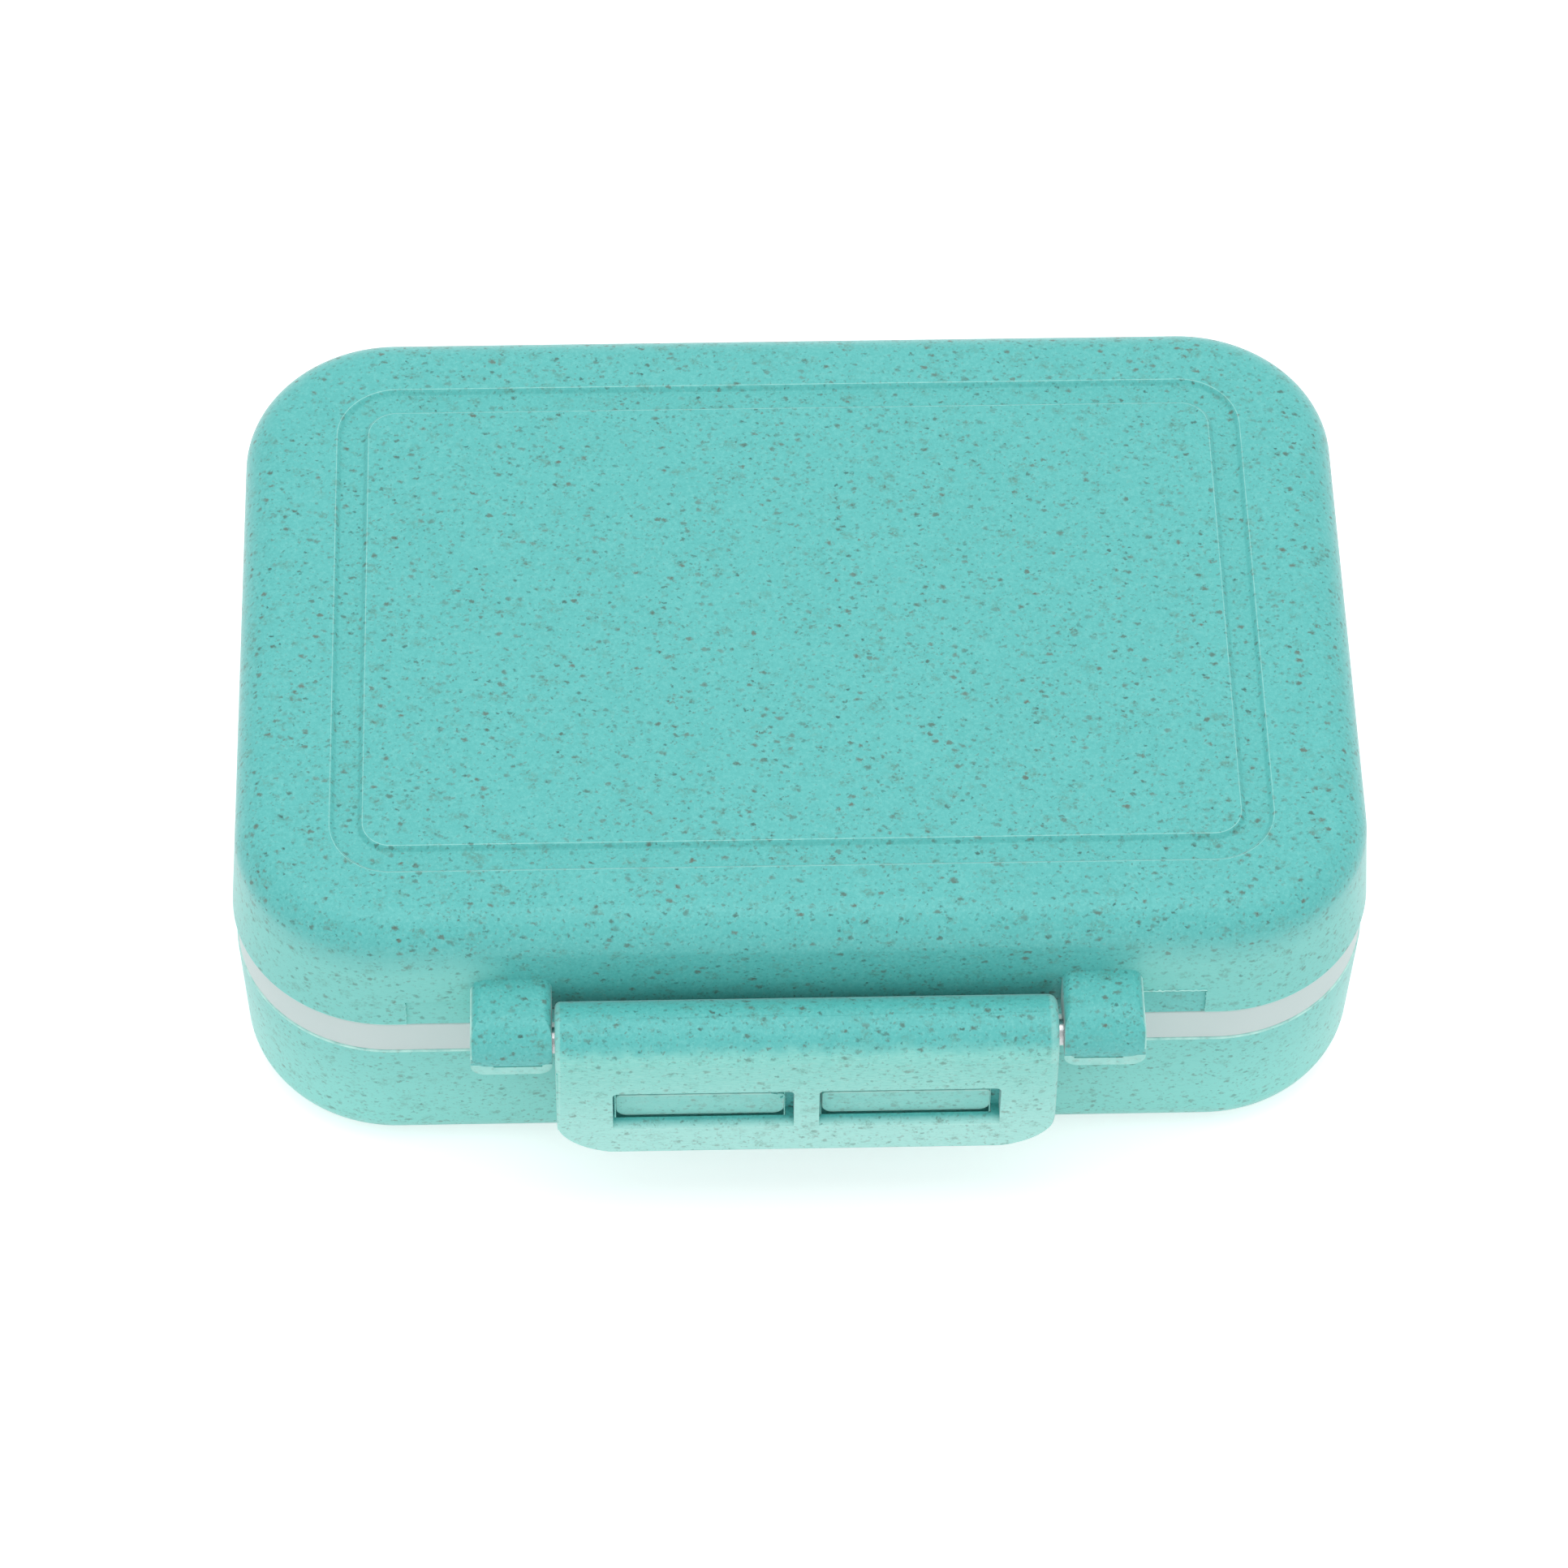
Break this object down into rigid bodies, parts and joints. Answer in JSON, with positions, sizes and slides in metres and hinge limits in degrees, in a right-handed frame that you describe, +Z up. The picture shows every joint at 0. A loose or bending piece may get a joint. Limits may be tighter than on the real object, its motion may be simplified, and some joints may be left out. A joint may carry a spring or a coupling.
{
  "type": "travel pill box",
  "caption": "Pocket pill box of speckled plastic with a hinged lid, a front snap latch on a steel pin, and an inner tray divided into pill compartments.",
  "frame": {"origin": "middle of the case's underside, on the surface that the box stands on", "axes": "+X to the right along the case's width, +Y to the hinge at the back, +Z up"},
  "size_m": [0.105, 0.0869, 0.0328],
  "materials": {
    "wheat_straw_pp": "satin moulded polypropylene with fine straw flecks",
    "frosted_pp": "frosted translucent white",
    "clear_frosted_pp": "frosted, nearly clear",
    "white_silicone": "matt white silicone",
    "steel_pin": "drawn steel wire"
  },
  "bodies": {
    "base": {"base_shell": "wheat_straw_pp", "compartment_tray": "frosted_pp", "divider_front_1": "clear_frosted_pp", "divider_front_2": "clear_frosted_pp", "divider_front_3": "clear_frosted_pp", "divider_rear_1": "clear_frosted_pp", "divider_rear_2": "clear_frosted_pp", "divider_rear_3": "clear_frosted_pp", "seal_ring": "white_silicone", "hinge_pin": "steel_pin"},
    "lid": {"lid_shell": "wheat_straw_pp", "latch_pin": "steel_pin"},
    "latch": {"latch_flap": "wheat_straw_pp"}
  },
  "joints": [
    {"name": "lid_hinge", "type": "hinge", "parent": "base", "child": "lid", "pos_m": [0, 0.0401, 0.01795], "axis": [-1, 0, 0], "range_deg": [0, 170]},
    {"name": "latch_hinge", "type": "hinge", "parent": "lid", "child": "latch", "pos_m": [0, -0.04043, 0.02296], "axis": [-1, 0, 0], "range_deg": [0, 165]}
  ]
}
